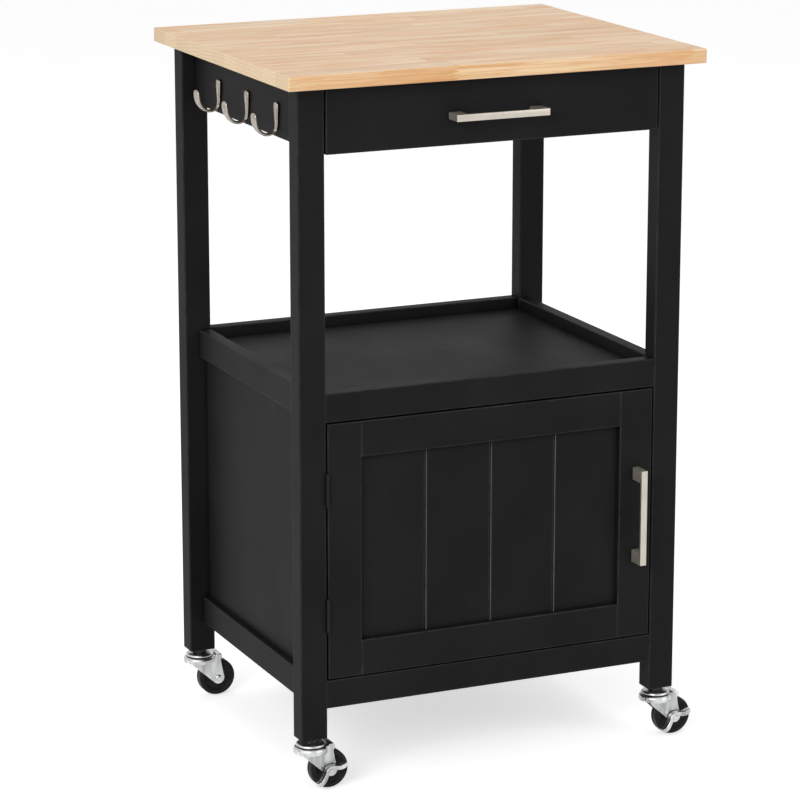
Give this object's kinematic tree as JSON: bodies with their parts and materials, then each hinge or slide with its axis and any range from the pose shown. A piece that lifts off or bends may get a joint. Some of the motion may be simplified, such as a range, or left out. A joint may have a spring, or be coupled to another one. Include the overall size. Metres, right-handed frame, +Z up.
{
  "type": "kitchen cart",
  "caption": "Kitchen cart with a wooden worktop, a drawer, an open shelf, a cupboard with a side-hung door, side hooks and swivel casters.",
  "frame": {"origin": "on the floor under the middle of the worktop", "axes": "+X to the right of someone who faces the drawer and the door, +Y away from them, +Z up"},
  "size_m": [0.569, 0.46, 0.9],
  "materials": {
    "wood_top": "satin lacquer",
    "painted_wood": "satin black paint",
    "inner_wood": "plain",
    "satin_nickel": "satin",
    "zinc_steel": "bright zinc",
    "black_steel": "black coat",
    "wheel_rubber": "satin",
    "black_plastic": "matte"
  },
  "bodies": {
    "cart_frame": {"worktop": "wood_top", "leg_front_left": "painted_wood", "leg_front_right": "painted_wood", "leg_rear_left": "painted_wood", "leg_rear_right": "painted_wood", "apron_left": "painted_wood", "apron_right": "painted_wood", "apron_rear": "painted_wood", "top_stretcher": "painted_wood", "shelf_rail_front": "painted_wood", "shelf_rail_rear": "painted_wood", "shelf_rail_left": "painted_wood", "shelf_rail_right": "painted_wood", "shelf_panel": "painted_wood", "bottom_rail_front": "painted_wood", "bottom_rail_rear": "painted_wood", "bottom_rail_left": "painted_wood", "bottom_rail_right": "painted_wood", "floor_panel": "painted_wood", "side_panel_left": "painted_wood", "side_panel_right": "painted_wood", "back_panel": "painted_wood", "hooks": "satin_nickel", "frame_screws": "zinc_steel", "cam_fittings": "zinc_steel", "dowels": "inner_wood", "cabinet_runner_left": "inner_wood", "cabinet_runner_right": "inner_wood", "magnet_catch": "black_plastic", "hinge_frame_leaves": "black_steel", "caster_stems": "zinc_steel"},
    "door": {"door_stile_left": "painted_wood", "door_stile_right": "painted_wood", "door_rail_top": "painted_wood", "door_rail_bottom": "painted_wood", "door_panel": "painted_wood", "door_handle": "satin_nickel", "door_screws": "zinc_steel", "hinge_door_leaves": "black_steel"},
    "drawer": {"drawer_front": "painted_wood", "drawer_side_left": "inner_wood", "drawer_side_right": "inner_wood", "drawer_back": "inner_wood", "drawer_bottom": "inner_wood", "drawer_handle": "satin_nickel", "drawer_screws": "zinc_steel"},
    "fork_front_left": {"caster_fork_front_left": "zinc_steel", "caster_axle_front_left": "zinc_steel"},
    "wheel_front_left": {"caster_wheel_front_left": "wheel_rubber"},
    "brake_front_left": {"brake_lever_front_left": "zinc_steel"},
    "fork_front_right": {"caster_fork_front_right": "zinc_steel", "caster_axle_front_right": "zinc_steel"},
    "wheel_front_right": {"caster_wheel_front_right": "wheel_rubber"},
    "brake_front_right": {"brake_lever_front_right": "zinc_steel"},
    "fork_rear_left": {"caster_fork_rear_left": "zinc_steel", "caster_axle_rear_left": "zinc_steel"},
    "wheel_rear_left": {"caster_wheel_rear_left": "wheel_rubber"},
    "fork_rear_right": {"caster_fork_rear_right": "zinc_steel", "caster_axle_rear_right": "zinc_steel"},
    "wheel_rear_right": {"caster_wheel_rear_right": "wheel_rubber"}
  },
  "joints": [
    {"name": "drawer_slide", "type": "slide", "parent": "cart_frame", "child": "drawer", "axis": [0, -1, 0], "range_m": [0, 0.25]},
    {"name": "door_hinge", "type": "hinge", "parent": "cart_frame", "child": "door", "pos_m": [-0.224, -0.2095, 0.3065], "axis": [0, 0, -1], "range_deg": [0, 170]},
    {"name": "swivel_front_left", "type": "hinge", "parent": "cart_frame", "child": "fork_front_left", "pos_m": [-0.2425, -0.194, 0], "axis": [0, 0, 1], "continuous": true},
    {"name": "roll_front_left", "type": "hinge", "parent": "fork_front_left", "child": "wheel_front_left", "pos_m": [-0.22, -0.194, 0.025], "axis": [0, 1, 0], "continuous": true},
    {"name": "brake_front_left", "type": "hinge", "parent": "fork_front_left", "child": "brake_front_left", "pos_m": [-0.22, -0.194, 0.025], "axis": [0, 1, 0], "range_deg": [0, 18]},
    {"name": "swivel_front_right", "type": "hinge", "parent": "cart_frame", "child": "fork_front_right", "pos_m": [0.2425, -0.194, 0], "axis": [0, 0, 1], "continuous": true},
    {"name": "roll_front_right", "type": "hinge", "parent": "fork_front_right", "child": "wheel_front_right", "pos_m": [0.265, -0.194, 0.025], "axis": [0, 1, 0], "continuous": true},
    {"name": "brake_front_right", "type": "hinge", "parent": "fork_front_right", "child": "brake_front_right", "pos_m": [0.265, -0.194, 0.025], "axis": [0, 1, 0], "range_deg": [0, 18]},
    {"name": "swivel_rear_left", "type": "hinge", "parent": "cart_frame", "child": "fork_rear_left", "pos_m": [-0.2425, 0.192, 0], "axis": [0, 0, 1], "continuous": true},
    {"name": "roll_rear_left", "type": "hinge", "parent": "fork_rear_left", "child": "wheel_rear_left", "pos_m": [-0.22, 0.192, 0.025], "axis": [0, 1, 0], "continuous": true},
    {"name": "swivel_rear_right", "type": "hinge", "parent": "cart_frame", "child": "fork_rear_right", "pos_m": [0.2425, 0.192, 0], "axis": [0, 0, 1], "continuous": true},
    {"name": "roll_rear_right", "type": "hinge", "parent": "fork_rear_right", "child": "wheel_rear_right", "pos_m": [0.265, 0.192, 0.025], "axis": [0, 1, 0], "continuous": true}
  ]
}
